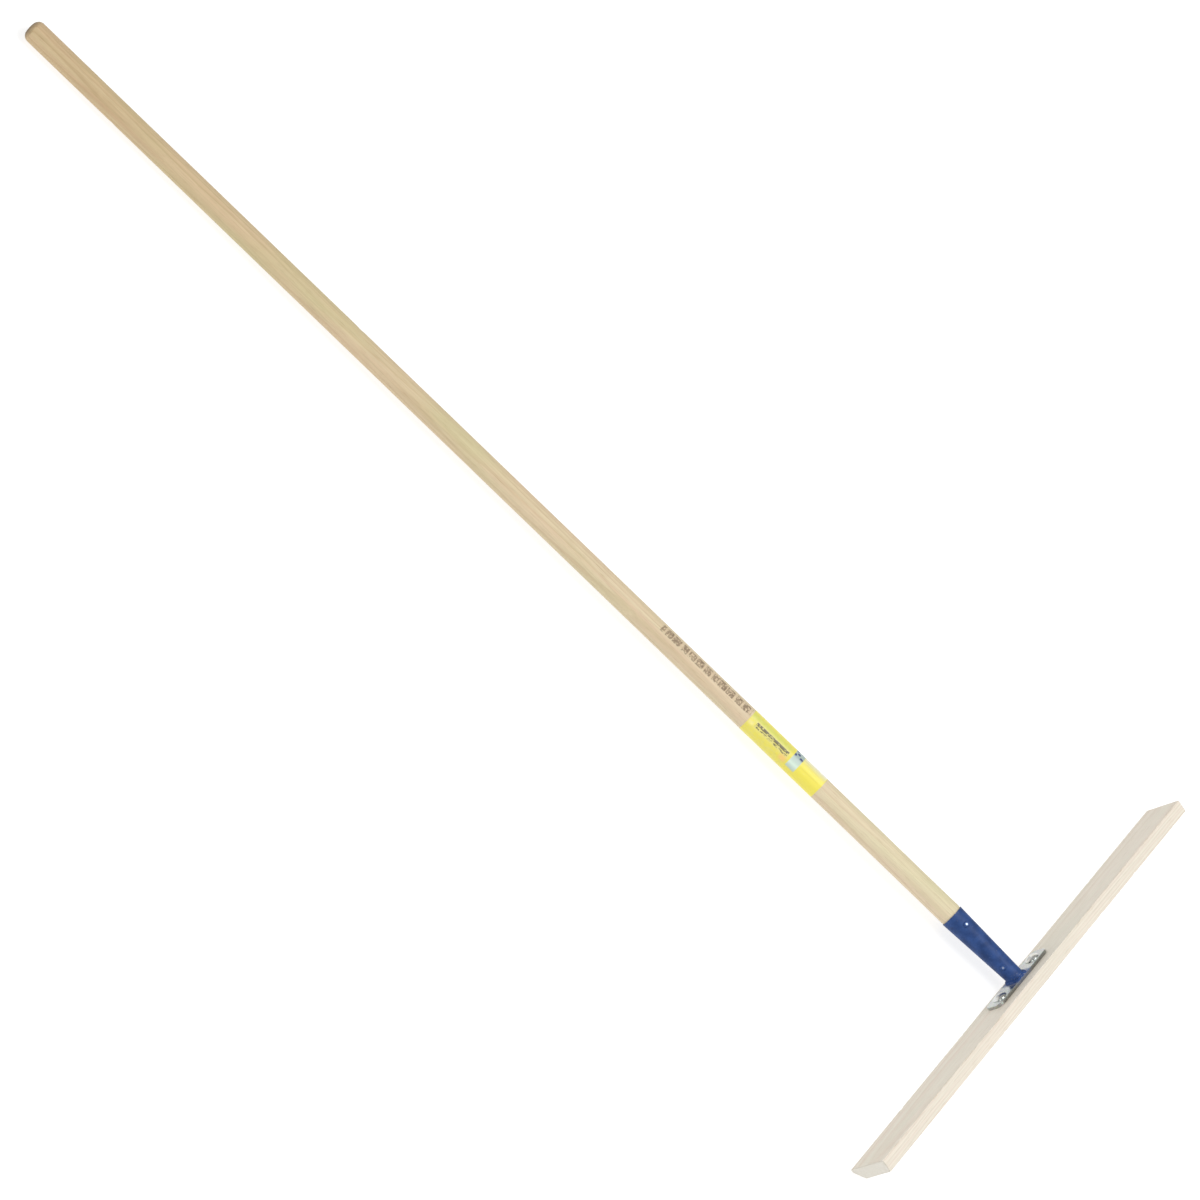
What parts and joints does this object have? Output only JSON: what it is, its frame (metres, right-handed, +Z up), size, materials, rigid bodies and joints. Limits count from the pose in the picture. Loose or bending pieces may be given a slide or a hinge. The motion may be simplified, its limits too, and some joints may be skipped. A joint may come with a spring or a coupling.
{
  "type": "screed rake",
  "caption": "Long-handled wooden screed rake: a thin bevelled board bolted to a steel foot whose tapered socket grips a round wooden pole.",
  "frame": {"origin": "on the floor, under the middle of the tool's box, with the tool lying on the board's working edge and the handle's butt", "axes": "+Z up, +Y along the handle from the board to the butt, +X along the board"},
  "size_m": [0.7, 1.5994, 0.0529],
  "materials": {
    "handle_wood": "smooth, bare",
    "board_wood": "planed, bare",
    "socket_paint": "satin paint",
    "rivet_steel": "bright zinc",
    "bar_steel": "dull zinc",
    "bolt_steel": "zinc plated",
    "label_film": "satin film"
  },
  "bodies": {
    "root": {"handle": "handle_wood", "screed_board": "board_wood", "handle_socket": "socket_paint", "socket_weld": "socket_paint", "socket_rivet_upper": "rivet_steel", "socket_rivet_lower": "rivet_steel", "bracket_bar": "bar_steel", "carriage_bolts": "bolt_steel", "bolt_washers": "bolt_steel", "bolt_nuts": "bolt_steel", "handle_label": "label_film"}
  },
  "joints": []
}
